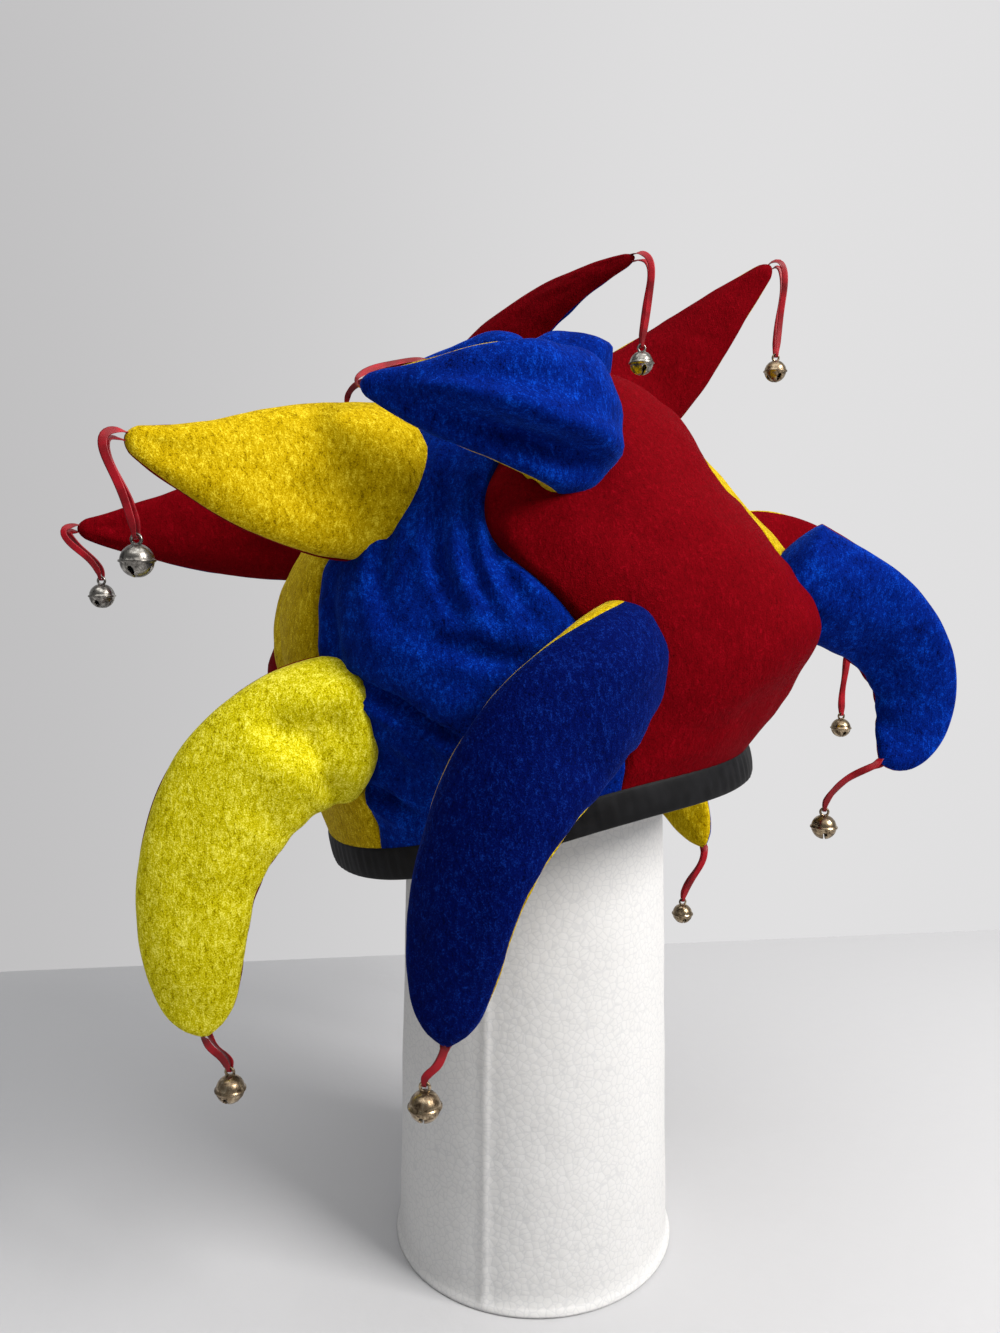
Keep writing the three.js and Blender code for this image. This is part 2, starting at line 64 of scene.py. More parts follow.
print("frame loaded,", len(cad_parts), "nodes")


def table(columns, *rows):
    return {name: np.array(values, float) for name, values in zip(columns.split(), zip(*rows))}


# A smooth curve through a table's column, at places between its rows.
def smoothAt(rows, column, at):
    x = rows["at"]
    y = rows[column]
    last = len(x) - 1
    slopes = np.empty(last + 1)
    slopes[1:last] = (y[2:] - y[:-2]) / (x[2:] - x[:-2])
    slopes[0] = (y[1] - y[0]) / (x[1] - x[0])
    slopes[last] = (y[last] - y[last - 1]) / (x[last] - x[last - 1])
    at = np.asarray(at, float)
    i = np.clip(np.searchsorted(x, at, side="right") - 1, 0, last - 1)
    span = x[i + 1] - x[i]
    t = np.clip((at - x[i]) / span, 0, 1)
    t2 = t * t
    t3 = t2 * t
    return (
        (2 * t3 - 3 * t2 + 1) * y[i]
        + (t3 - 2 * t2 + t) * span * slopes[i]
        + (3 * t2 - 2 * t3) * y[i + 1]
        + (t3 - t2) * span * slopes[i + 1]
    )


def bend(startMiddleEnd, at):
    start, middle, end = startMiddleEnd
    t = np.clip(at, 0, 1)
    return start * (1 - t) * (1 - 2 * t) + 4 * middle * t * (1 - t) + end * t * (2 * t - 1)


def unit(vectors):
    return vectors / np.maximum(np.linalg.norm(vectors, axis=-1, keepdims=True), 1e-9)


# Soft random bumps from -1 to 1 at each point, the size of one bump in the points' unit.
def bumpsAt(points, size, seed):
    flat = points.reshape(-1, points.shape[-1]) / size + seed * 17.31
    values = [noise.noise(Vector(p)) for p in flat]
    return np.array(values).reshape(points.shape[:-1])


# The crown: six gores on a leaning axis. Rise is a share of the height, left, right and depth
# are shares of the rim's radius, and twist turns the seams.
crown = {
    "rimRadius": 97.5,
    "rimLevel": 219,
    "height": 183,
    "lean": -12,
    "firstSeam": -41,
    "puff": 5,
    "wall": 2,
    "topHole": 2.2,
    "columns": 52,
    "rows": 96,
    "sections": table(
        "at rise left right depth twist",
        (0.0, 0.0, 1.0, 1.0, 1.0, 0),
        (0.12, 0.13, 1.01, 1.25, 1.02, -1),
        (0.26, 0.27, 1.0, 1.42, 1.03, -3),
        (0.42, 0.46, 1.0, 1.27, 1.02, -6),
        (0.56, 0.62, 0.87, 1.1, 0.94, -6),
        (0.74, 0.83, 0.48, 0.92, 0.72, 6),
        (0.88, 0.955, 0.2, 0.62, 0.44, 8),
        (1.0, 1.0, 0.0, 0.0, 0.0, 8),
    ),
    # the rim's edge is lifted round an angle, and the cloth above it up to the reach
    "wave": {"angle": 15, "wide": 38, "lift": 9, "reach": 0.3},
    # broad dents and swells: angle, at, width, height, push as a share of the rim's radius
    "folds": [
        (-6, 0.5, 14, 0.13, -0.07),
        (-24, 0.2, 9, 0.12, -0.05),
        (52, 0.4, 22, 0.25, 0.05),
        (-70, 0.25, 16, 0.2, -0.04),
        (112, 0.35, 20, 0.22, 0.04),
    ],
    # creases in the cloth: from angle, at, to angle, at, width, depth (outwards if negative)
    "creases": [
        (-30, 0.35, -10, 0.2, 3.2, 10.0),
        (-38, 0.32, -15, 0.13, 6, -2.6),
        (-40, 0.14, -29, 0.065, 3.2, 6.0),
        (-22, 0.66, -17, 0.44, 4.2, 3.8),
        (-9, 0.68, -2, 0.44, 3.6, 4.8),
        (2, 0.64, 6, 0.41, 3.6, 4.8),
        (8, 0.6, 11, 0.4, 3.6, 3.6),
        (-33, 0.54, -34, 0.32, 4, 2.4),
        (-21, 0.32, -19, 0.1, 5, 2.6),
        (-9, 0.4, 8, 0.33, 4.5, 3.6),
        (-14, 0.27, -2, 0.3, 5, -2.0),
        (26, 0.7, 34, 0.5, 8, 1.2),
        (30, 0.1, 60, 0.12, 9, 1.4),
        (-80, 0.3, -66, 0.1, 7, 2.6),
        (-72, 0.62, -64, 0.34, 6, 2.4),
        (-95, 0.5, -88, 0.2, 7, 2.2),
        (96, 0.6, 104, 0.2, 8, 2.0),
        (128, 0.5, 120, 0.15, 7, 2.4),
        (160, 0.6, 150, 0.3, 7, 2.2),
        (186, 0.45, 176, 0.12, 8, 2.4),
        (215, 0.6, 225, 0.25, 7, 2.2),
        (250, 0.5, 240, 0.2, 8, 2.6),
    ],
}
# the second seam sways to the left in the upper half
crown["sway"] = {"angle": crown["firstSeam"] + 60, "at": 0.64, "spread": 0.16, "degrees": -14}
crown["top"] = 1 - crown["topHole"] / (crown["rimRadius"] * 3.6)

gores = [
    ("panel_front_blue", "blue"),
    ("panel_front_red", "red"),
    ("panel_back_yellow", "yellow"),
    ("panel_back_blue", "blue"),
    ("panel_back_red", "red"),
    ("panel_front_yellow", "yellow"),
]


def seamAngle(seam):
    return crown["firstSeam"] + 60 * seam


def wrapDegrees(angle):
    return np.mod(angle + 180, 360) - 180


# Where the seams run, as angles at a height, and how far across its gore an angle lies.
def seamSway(at):
    sway = crown["sway"]
    return sway["degrees"] * np.exp(-(((at - sway["at"]) / sway["spread"]) ** 2))


def seamLine(seam, at):
    return seamAngle(seam) + (seamSway(at) if seam == 1 else 0)


def goreShare(angle, at):
    away = wrapDegrees(angle - crown["sway"]["angle"])
    sway = seamSway(at)
    share = np.mod(away, 60) / 60
    share = np.where((away >= -60) & (away < sway), (away + 60) / (60 + sway), share)
    return np.where((away >= sway) & (away < 60), (away - sway) / (60 - sway), share)


def crownPush(angle, at):
    share = np.clip(goreShare(angle, at), 0, 1)
    push = crown["puff"] * np.sqrt(np.sin(np.pi * share)) * np.sin(np.pi * np.clip(at, 0, 1))
    for foldAngle, foldAt, wide, tall, depth in crown["folds"]:
        across = wrapDegrees(angle - foldAngle) / wide
        up = (at - foldAt) / tall
        push = push + depth * crown["rimRadius"] * np.exp(-(across**2) - up**2)
    return push


def rimLift(angle, at):
    wave = crown["wave"]
    across = wrapDegrees(angle - wave["angle"]) / wave["wide"]
    fade = np.maximum(1 - at / wave["reach"], 0)
    return wave["lift"] * np.exp(-(across**2)) * fade**2


def uprightPoint(angle, at):
    sections = crown["sections"]
    push = crownPush(angle, at) / crown["rimRadius"]
    turned = np.radians(angle + smoothAt(sections, "twist", at))
    half = np.where(
        np.sin(turned) > 0, smoothAt(sections, "right", at), smoothAt(sections, "left", at)
    )
    side = (half + push) * crown["rimRadius"]
    depth = (smoothAt(sections, "depth", at) + push) * crown["rimRadius"]
    rise = smoothAt(sections, "rise", at) * crown["height"] + rimLift(angle, at)
    return np.stack([side * np.sin(turned), -depth * np.cos(turned), rise], -1)


def crownNormal(angle, at):
    along = uprightPoint(angle + 0.5, at) - uprightPoint(angle - 0.5, at)
    low = np.maximum(at - 0.01, 0)
    high = np.minimum(at + 0.01, 0.99)
    up = uprightPoint(angle, high) - uprightPoint(angle, low)
    return unit(np.cross(along, up))


def leanOver(points):
    turn = math.radians(crown["lean"])
    x = points[..., 0] * math.cos(turn) + points[..., 2] * math.sin(turn)
    z = -points[..., 0] * math.sin(turn) + points[..., 2] * math.cos(turn)
    return np.stack([x, points[..., 1], z], -1)


def crownPoint(angle, at, offset=0.0):
    angle, at = np.broadcast_arrays(np.asarray(angle, float), np.asarray(at, float))
    offset = np.broadcast_to(offset, angle.shape)[..., None]
    points = uprightPoint(angle, at) + crownNormal(angle, at) * offset
    return leanOver(points) + np.array([0, 0, crown["rimLevel"]])


# How far creases, small gathers at the seams and soft unevenness move the crown's outside.
def crownRelief(angle, at):
    perDegree = crown["rimRadius"] * math.pi / 180
    perAt = crown["rimRadius"] * 2.3
    x = angle * perDegree
    y = at * perAt
    relief = np.zeros_like(x)
    for a0, t0, a1, t1, width, depth in crown["creases"]:
        for turn in (-360, 0, 360):
            start = np.array([(a0 + turn) * perDegree, t0 * perAt])
            run = np.array([a1 - a0, t1 - t0]) * [perDegree, perAt]
            length = np.linalg.norm(run)
            run = run / length
            along = np.clip((x - start[0]) * run[0] + (y - start[1]) * run[1], 0, length)
            gapX = x - start[0] - along * run[0]
            gapY = y - start[1] - along * run[1]
            side = gapX * run[1] - gapY * run[0]
            gap2 = gapX**2 + gapY**2
            fade = np.sin(np.pi * np.clip(along / length, 0.08, 0.92)) ** 0.6
            groove = np.exp(-gap2 / width**2)
            lip = np.exp(-((side - 1.5 * width) ** 2) / width**2) * np.exp(
                -np.maximum(gap2 - 9 * width**2, 0) / width**2
            )
            relief -= depth * fade * (groove - 0.45 * lip)
    share = goreShare(angle, at)
    toSeam = np.minimum(share, 1 - share) * 60 * perDegree
    near = np.exp(-toSeam / 7)
    gather = np.sin(y / 3.4 + 2.2 * np.sin(angle / 9)) * np.sin(y / 9.1 + angle / 7)
    relief += near * gather * 0.7
    relief -= 1.3 * np.exp(-((toSeam / 1.6) ** 2))
    points = crownPoint(angle, at)
    relief += bumpsAt(points, 26, 1) * 1.5 + bumpsAt(points, 11, 2) * 0.55
    return relief * np.clip(at / 0.05, 0, 1) * np.clip((crown["top"] - at) / 0.06, 0, 1)


# Horns: width is a share of the horn's width, puff a share of the width there.
hornOutlines = {
    "low": table(
        "at width puff",
        (0.0, 1.0, 0.72),
        (0.15, 0.97, 0.6),
        (0.35, 0.9, 0.46),
        (0.6, 0.77, 0.42),
        (0.8, 0.64, 0.4),
        (0.93, 0.43, 0.42),
        (1.0, 0.13, 0.7),
    ),
    "top": table(
        "at width puff",
        (0.0, 1.0, 0.92),
        (0.15, 0.98, 0.7),
        (0.35, 0.9, 0.5),
        (0.6, 0.66, 0.48),
        (0.8, 0.4, 0.5),
        (0.93, 0.22, 0.6),
        (1.0, 0.12, 0.8),
    ),
}
hornMake = {
    "width": 58,
    "length": 165,
    "ribbon": 50,
    "inset": 16,
    "pocket": 20,
    "wall": 1.8,
    "gap": 0.1,
    "tuck": 0.85,
    "columns": 28,
    "rows": 84,
    "tipRows": (0.972, 0.985, 0.993, 0.998, 1.0),
}
# Each horn: the share of the seam below it, its length, size and ribbon as shares of the
# common ones, its heading at start, middle and end, the roll of its leaves about it, and where
# its bell hangs: right, back and down, as shares of its ribbon.
horns = {
    "low_1": dict(foot=0.27, length=0.89, size=1, turn=(-55, -76, -75), tilt=(0, -70, -100),
                  roll=(8, 10, 10), ribbon=0.28, hang=(0.57, 0.05, 0.78)),
    "low_2": dict(foot=0.28, length=0.98, size=0.93, turn=(-4, -84, -75), tilt=(0, -62, -88),
                  roll=(-8, 19, 18), ribbon=0.3, hang=(-0.5, 0.1, 0.75)),
    "low_3": dict(foot=0.36, length=0.73, size=0.82, turn=(85, 107, 110), tilt=(-28, -52, -162),
                  roll=(0, 30, 30), ribbon=0.72, hang=(-0.55, 0.2, 0.6)),
    "low_4": dict(foot=0.35, length=1, size=1, turn=(140, 110, 60), tilt=(15, -5, -110),
                  ribbon=0.76, hang=(-0.1, -0.1, 0.92)),
    "low_5": dict(foot=0.31, length=1.26, size=1, turn=(155, 78, 45), tilt=(-5, -36, -62),
                  ribbon=0.66, hang=(-0.4, -0.12, 0.82)),
    "low_6": dict(foot=0.33, length=1, size=1, turn=(225, 120, 90), tilt=(0, -50, -80),
                  ribbon=0.72, hang=(0.1, 0, 0.95)),
    "top_1": dict(foot=0.69, length=0.62, size=1.06, turn=(-33, -48, -55), tilt=(-2, 4, 20),
                  roll=(6, 8, 8), ribbon=0.9, hang=(0.12, -0.05, 0.72)),
    "top_2": dict(foot=0.7, length=0.61, size=0.9, turn=(30, -80, -104), tilt=(14, 5, 15),
                  roll=(-8, -9, -7), ribbon=0.8, hang=(0.62, 0.66, -0.2)),
    "top_3": dict(foot=0.88, length=0.56, size=0.62, turn=(75, 84, 90), tilt=(138, 186, 186),
                  roll=(85, 90, 90), ribbon=0.72, hang=(-0.6, 0.6, 0.3)),
    "top_4": dict(foot=0.74, length=0.87, size=1, turn=(140, 88, 86), tilt=(25, 43, 42),
                  ribbon=1.08, hang=(0.04, 0, 0.84)),
    "top_5": dict(foot=0.74, length=0.93, size=0.66, turn=(100, 66, 60), tilt=(80, 40, 12),
                  ribbon=1, hang=(0.04, 0.02, 0.8), leaves=("blue", "red")),
    "top_6": dict(foot=0.66, length=0.72, size=1, turn=(-95, -80, -65), tilt=(5, -5, 5),
                  ribbon=0.76, hang=(0.32, 0, 0.58)),
}
# leaves with their own copy of their velour, with painted light and shade: low_1's face in a lighter
# yellow as painted light, low_2's face in a darker blue as painted shade
paintedLightCopies = {("low_1", "face"): "yellowLitCopy", ("low_2", "face"): "blueShadedCopy"}
goreColours = [colour for _, colour in gores]
for label, horn in horns.items():
    seam = int(label[-1]) - 1
    horn["length"] *= hornMake["length"]
    horn["ribbon"] *= hornMake["ribbon"]
    horn.setdefault("roll", (0, 0, 0))
    horn.setdefault("leaves", (goreColours[seam - 1], goreColours[seam - 2]))
    horn["outline"] = hornOutlines[label[:3]]
    horn["seam"] = seam
    horn["seed"] = seam + (10 if label[:3] == "top" else 3)


def hornAxes(horn, at):
    turn = np.radians(bend(horn["turn"], at))
    tilt = np.radians(bend(horn["tilt"], at))
    roll = np.radians(bend(horn["roll"], at))[..., None]
    along = np.stack(
        [np.cos(tilt) * np.sin(turn), -np.cos(tilt) * np.cos(turn), np.sin(tilt)], -1
    )
    level = np.stack([np.cos(turn), np.sin(turn), np.zeros_like(turn)], -1)
    face = level * np.cos(roll) + np.cross(along, level) * np.sin(roll)
    return along, face, np.cross(along, face)


def hornMiddle(horn, at):
    steps = 240
    if "line" not in horn:
        along = hornAxes(horn, (np.arange(steps) + 0.5) / steps)[0]
        foot = crownPoint(seamAngle(horn["seam"]), horn["foot"])
        walk = np.cumsum(along * horn["length"] / steps, axis=0)
        horn["line"] = np.vstack([foot, foot + walk])
    at = np.asarray(at, float)
    place = np.clip(at, 0, 1) * steps
    k = np.minimum(place.astype(int), steps - 1)
    share = (place - k)[..., None]
    middle = horn["line"][k] * (1 - share) + horn["line"][k + 1] * share
    along = hornAxes(horn, at)[0]
    return middle + along * (np.minimum(at, 0) * horn["length"])[..., None]


# A place on a leaf: turn runs from 0, the lower edge, to pi, the upper one. side is 1 on the
# face and -1 on the back.
def leafPoint(horn, at, turn, side, inset=0.0, relief=0.0):
    at, turn = np.broadcast_arrays(np.asarray(at, float), np.asarray(turn, float))
    along, face, up = hornAxes(horn, at)
    place = np.clip(at, 0, 1)
    width = smoothAt(horn["outline"], "width", place) * hornMake["width"] * horn["size"]
    puff = smoothAt(horn["outline"], "puff", place) * width
    tip = np.clip((place - 0.965) / 0.035, 0, 1)
    rounding = np.sqrt(1 - 0.985 * tip**2)
    halfWidth = np.maximum(width / 2 * rounding - inset, 0.12) + relief * 0.5
    halfPuff = np.maximum(puff / 2 * rounding - inset, 0.1) + relief
    across = -np.cos(turn) * halfWidth
    out = side * (hornMake["gap"] / 2 + np.sin(turn) * halfPuff)
    return hornMiddle(horn, at) + up * across[..., None] + face * out[..., None]


# Folds of the leaves: label, side, at, turn in degrees, along, across, depth. Lengths along and
# across are millimetres, and the depth is outwards where it is negative.
hornFolds = [
    ("low_1", 1, 0.17, 108, 4.5, 9, 6.5),
    ("low_1", 1, 0.12, 90, 5, 10, 8.0),
    ("low_1", 1, 0.06, 94, 5, 8, 6.0),
    ("low_1", 1, 0.21, 72, 8, 12, -2.6),
    ("low_1", 1, 0.13, 46, 5, 9, 4.6),
    ("low_1", 1, 0.08, 122, 8, 8, -2.2),
    ("low_2", 1, 0.3, 55, 9, 14, 2.4),
    ("low_2", 1, 0.12, 80, 14, 8, 2.0),
    ("low_3", -1, 0.3, 120, 8, 12, 2.4),
    ("low_3", -1, 0.52, 60, 10, 9, 2.6),
    ("top_1", 1, 0.28, 96, 6.5, 9, 3.4),
    ("top_1", 1, 0.24, 74, 6.5, 9, 4.8),
    ("top_1", 1, 0.19, 50, 6.5, 9, 3.8),
    ("top_1", 1, 0.4, 74, 10, 9, 3.2),
    ("top_1", 1, 0.11, 84, 8, 18, -2.8),
    ("top_2", 1, 0.65, 103, 12, 5, -4.0),
    ("top_2", 1, 0.5, 92, 12, 5, -6.5),
    ("top_2", 1, 0.33, 80, 12, 5, -7.0),
    ("top_2", 1, 0.16, 72, 9, 6, -4.0),
    ("top_2", 1, 0.62, 62, 12, 9, 5.0),
    ("top_2", 1, 0.42, 53, 14, 10, 12.5),
    ("top_2", 1, 0.24, 46, 10, 10, 8.5),
    ("top_2", 1, 0.4, 114, 14, 7, 2.6),
    ("top_2", 1, 0.3, 160, 7, 20, 4.0),
    ("top_2", -1, 0.3, 160, 7, 20, 4.0),
    ("top_3", -1, 0.3, 90, 5, 60, 5.0),
    ("top_3", 1, 0.3, 90, 5, 60, 5.0),
    ("top_3", -1, 0.5, 90, 9, 60, -2.0),
    ("top_3", 1, 0.5, 90, 9, 60, -2.0),
    ("top_6", 1, 0.3, 60, 12, 8, 2.4),
    ("low_4", 1, 0.25, 60, 9, 14, 2.6),
    ("low_5", -1, 0.2, 60, 9, 14, 2.6),
    ("low_6", 1, 0.2, 70, 9, 14, 2.6),
    ("low_6", -1, 0.25, 70, 9, 14, 2.6),
]


def leafRelief(label, at, turn, side):
    horn = horns[label]
    reach = hornMake["width"] / 2
    x = at * horn["length"]
    y = turn * reach
    relief = np.zeros_like(x)
    for name, foldSide, foldAt, foldTurn, longWay, wideWay, depth in hornFolds:
        if name == label and foldSide == side:
            dx = (x - foldAt * horn["length"]) / longWay
            dy = (y - math.radians(foldTurn) * reach) / wideWay
            relief -= depth * np.exp(-(dx**2) - dy**2)
    # gathers that run out from the foot, and creases across the inside of the bend
    phase = horn["seed"] * 1.7 + side
    gathers = np.sin(y / 3.1 + phase + 0.8 * np.sin(x / 9)) * np.exp(-np.maximum(x, 0) / 16)
    relief += gathers * 0.6
    swing = np.abs(np.gradient(bend(horn["tilt"], at), axis=1)) if at.ndim == 2 else 0
    swing = np.clip(swing / 2.6, 0, 1)
    inside = 1 if horn["tilt"][2] < horn["tilt"][0] else -1
    inner = np.clip(inside * np.cos(turn), 0, 1)
    relief += swing * inner * np.sin(x / 2.9 + phase) * 0.8
    flat = np.stack([x, y, np.full_like(x, phase * 7)], -1)
    relief += bumpsAt(flat, 24, horn["seed"]) * 1.7 + bumpsAt(flat, 9, horn["seed"] + 5) * 0.45
    seamPinch = np.exp(-(np.minimum(turn, np.pi - turn) / 0.12) ** 2)
    relief -= seamPinch * 0.35
    return relief * np.clip((1 - at) / 0.1, 0.05, 1) * np.clip((at + 0.04) / 0.1, 0.2, 1)


# Shells: an outer and an inner grid of points, in millimetres, joined round their edges.
def shellPiece(name, outer, inner, material):
    columns, rows = outer.shape[:2]
    verts = np.concatenate([outer.reshape(-1, 3), inner.reshape(-1, 3)]) * mm
    under = columns * rows
    faces = []
    uvs = []
    across = np.concatenate(
        [[0], np.cumsum(np.linalg.norm(np.diff(outer[:, rows // 2], axis=0), axis=1))]
    )
    up = np.concatenate(
        [[0], np.cumsum(np.linalg.norm(np.diff(outer[columns // 2], axis=0), axis=1))]
    )
    place = lambda i, j: (across[i] * mm * 10, up[j] * mm * 10)
    at = lambda i, j: i * rows + j
    for i in range(columns - 1):
        for j in range(rows - 1):
            corner = [(i, j), (i + 1, j), (i + 1, j + 1), (i, j + 1)]
            faces.append([at(a, b) for a, b in corner])
            faces.append([under + at(a, b) for a, b in reversed(corner)])
            uvs.append([place(a, b) for a, b in corner])
            uvs.append([place(a, b) for a, b in reversed(corner)])
    edge = [(i, 0) for i in range(columns)] + [(columns - 1, j) for j in range(1, rows)]
    edge += [(i, rows - 1) for i in range(columns - 2, -1, -1)]
    edge += [(0, j) for j in range(rows - 2, 0, -1)]
    for (a, b), (c, d) in zip(edge, edge[1:] + edge[:1]):
        faces.append([at(c, d), at(a, b), under + at(a, b), under + at(c, d)])
        uvs.append([place(c, d), place(a, b), place(a, b), place(c, d)])
    return meshPiece(name, verts, faces, material, uvs)


def linked(name, data):
    thing = bpy.data.objects.new(name, data)
    scene.collection.objects.link(thing)
    return thing


def meshPiece(name, verts, faces, material, uvs):
    mesh = bpy.data.meshes.new(name)
    mesh.from_pydata([tuple(v) for v in verts], [], faces)
    layer = mesh.uv_layers.new(name="cloth")
    layer.data.foreach_set("uv", [value for face in uvs for uv in face for value in uv])
    mesh.polygons.foreach_set("use_smooth", [True] * len(mesh.polygons))
    mesh.materials.append(material)
    mesh.validate()
    mesh.update()
    return linked(name, mesh)


# Node helpers: each finish is a small graph of its own.
class Finish:
    def __init__(self, name):
        self.material = bpy.data.materials.new(name)
        self.material.use_nodes = True
        self.nodes = self.material.node_tree.nodes
        self.links = self.material.node_tree.links
        self.nodes.clear()
        self.shader = self.add("ShaderNodeBsdfPrincipled")
        out = self.add("ShaderNodeOutputMaterial")
        self.join(self.shader.outputs[0], out.inputs["Surface"])

    def add(self, kind, **inputs):
        node = self.nodes.new(kind)
        for key, value in inputs.items():
            setattr(node, key, value)
        return node

    def join(self, source, target):
        self.links.new(source, target)

    def place(self, kind, stretch=(1, 1, 1)):
        coords = self.add("ShaderNodeTexCoord")
        mapping = self.add("ShaderNodeMapping")
        mapping.inputs["Scale"].default_value = stretch
        self.join(coords.outputs[kind], mapping.inputs["Vector"])
        return mapping.outputs["Vector"]

    def noise(self, vector, scale, detail=2.0, rough=0.5, distortion=0.0):
        node = self.add("ShaderNodeTexNoise")
        node.inputs["Scale"].default_value = scale
        node.inputs["Detail"].default_value = detail
        node.inputs["Roughness"].default_value = rough
        node.inputs["Distortion"].default_value = distortion
        self.join(vector, node.inputs["Vector"])
        return node.outputs["Fac"]

    def cells(self, vector, scale, feature="F1", smooth=None):
        node = self.add("ShaderNodeTexVoronoi", feature=feature)
        node.inputs["Scale"].default_value = scale
        if smooth is not None:
            node.inputs["Smoothness"].default_value = smooth
        self.join(vector, node.inputs["Vector"])
        return node.outputs["Distance"]

    def ramp(self, fac, *stops):
        node = self.add("ShaderNodeValToRGB")
        node.color_ramp.interpolation = "EASE"
        elements = node.color_ramp.elements
        while len(elements) < len(stops):
            elements.new(0.5)
        for element, (position, colour) in zip(elements, stops):
            element.position = position
            element.color = (*colour, 1) if len(colour) == 3 else colour
        self.join(fac, node.inputs["Fac"])
        return node.outputs["Color"]

    def sum(self, a, b, operation="ADD"):
        node = self.add("ShaderNodeMath", operation=operation)
        for socket, value in zip(node.inputs, (a, b)):
            if isinstance(value, (int, float)):
                socket.default_value = value
            else:
                self.join(value, socket)
        return node.outputs[0]

    def mix(self, fac, a, b, blend="MIX"):
        node = self.add("ShaderNodeMix", data_type="RGBA", blend_type=blend)
        for socket, value in ((node.inputs["Factor"], fac), (node.inputs[6], a), (node.inputs[7], b)):
            if isinstance(value, (int, float)):
                socket.default_value = value
            elif isinstance(value, tuple):
                socket.default_value = (*value, 1)
            else:
                self.join(value, socket)
        return node.outputs[2]

    def bump(self, height, strength, distance, under=None):
        node = self.add("ShaderNodeBump")
        node.inputs["Strength"].default_value = strength
        node.inputs["Distance"].default_value = distance
        self.join(height, node.inputs["Height"])
        if under is not None:
            self.join(under, node.inputs["Normal"])
        return node.outputs["Normal"]

    def set(self, **values):
        names = {"color": "Base Color", "rough": "Roughness", "metal": "Metallic", "normal": "Normal",
                 "sheen": "Sheen Weight", "sheenRough": "Sheen Roughness", "sheenTint": "Sheen Tint",
                 "specular": "Specular IOR Level"}
        for key, value in values.items():
            socket = self.shader.inputs[names[key]]
            if isinstance(value, (int, float)):
                socket.default_value = value
            elif isinstance(value, tuple):
                socket.default_value = (*value, 1)
            else:
                self.join(value, socket)
        return self


# Each velour's tones, from the shade between its fibres to their lit tips. Two leaves have their own
# copy of a velour whose tones hold painted light and shade: a lighter yellow as painted light and a
# darker blue as painted shade.
velours = {
    "yellow": dict(deep=(0.18, 0.11, 0.0), middle=(0.46, 0.31, 0.001), bright=(0.76, 0.6, 0.03),
                   sheen=(1.0, 0.88, 0.3), sheenWeight=0.15, spread=0.14, soft=0.12),
    # a lighter copy of the yellow velour for one leaf: painted light
    "yellowLitCopy": dict(deep=(0.26, 0.21, 0.0), middle=(0.57, 0.5, 0.003), bright=(0.87, 0.8, 0.1),
                      sheen=(1.0, 0.94, 0.4), sheenWeight=0.2, spread=0.125, soft=0.08),
    "blue": dict(deep=(0.0, 0.001, 0.03), middle=(0.0, 0.011, 0.16), bright=(0.002, 0.055, 0.48),
                 sheen=(0.05, 0.2, 1.0), sheenWeight=0.3, spread=0.16, soft=0.25),
    # a darker copy of the blue velour for one leaf: painted shade
    "blueShadedCopy": dict(deep=(0.0, 0.001, 0.024), middle=(0.0, 0.003, 0.066), bright=(0.003, 0.022, 0.19),
                    sheen=(0.05, 0.15, 1.0), sheenWeight=0.16, spread=0.17, soft=0.1),
    "red": dict(deep=(0.06, 0.0, 0.001), middle=(0.125, 0.0, 0.002), bright=(0.23, 0.001, 0.006),
                sheen=(1.0, 0.03, 0.08), sheenWeight=0.04, spread=0.2, soft=0.1),
}


# Crushed velour: streaks of pile and a fine glitter of fibre tips over soft crushed patches.
def makeVelour(name, look):
    finish = Finish("velour_" + name)
    spot = finish.place("Object")
    crushed = finish.noise(spot, 75, 3, 0.5, 0.9)
    streaks = finish.noise(finish.place("Object", (1, 1, 0.5)), 640, 3, 0.6, 0.5)
    tips = finish.noise(spot, 1700, 2, 0.75)
    fine = finish.sum(finish.sum(streaks, 0.45, "MULTIPLY"), finish.sum(tips, 0.55, "MULTIPLY"))
    soft = look["soft"]
    shade = finish.sum(finish.sum(fine, 1 - soft, "MULTIPLY"), finish.sum(crushed, soft, "MULTIPLY"))
    spread = look["spread"]
    tone = finish.ramp(
        shade, (0.5 - spread, look["deep"]), (0.5, look["middle"]), (0.5 + spread, look["bright"])
    )
    height = finish.sum(finish.sum(tips, 0.6, "MULTIPLY"), streaks)
    normal = finish.bump(height, 0.5, 0.001)
    return finish.set(
        color=tone, rough=0.8, normal=normal, sheen=look["sheenWeight"], sheenRough=0.3,
        sheenTint=look["sheen"], specular=0.02,
    ).material


def makeSatin(name, dark, light, rough, gloss):
    finish = Finish("satin_" + name)
    spot = finish.place("Object")
    threads = finish.noise(finish.place("UV", (1, 40, 1)), 60, 2, 0.6)
    soft = finish.noise(spot, 120, 2)
    colour = finish.ramp(soft, (0.35, dark), (0.7, light))
    normal = finish.bump(finish.sum(threads, finish.sum(soft, 0.8, "MULTIPLY")), 0.15, 0.0004)
    return finish.set(color=colour, rough=rough, normal=normal, specular=gloss).material


def makeBellMetal(name, dark, middle, light):
    finish = Finish("bell_" + name)
    spot = finish.place("Object")
    tarnish = finish.noise(spot, 420, 5, 0.65, 0.6)
    colour = finish.ramp(tarnish, (0.34, dark), (0.5, middle), (0.66, light))
    rough = finish.ramp(tarnish, (0.3, (0.5, 0.5, 0.5)), (0.65, (0.2, 0.2, 0.2)))
    normal = finish.bump(finish.noise(spot, 900, 3, 0.6), 0.12, 0.0004)
    return finish.set(color=colour, rough=rough, metal=1.0, normal=normal).material


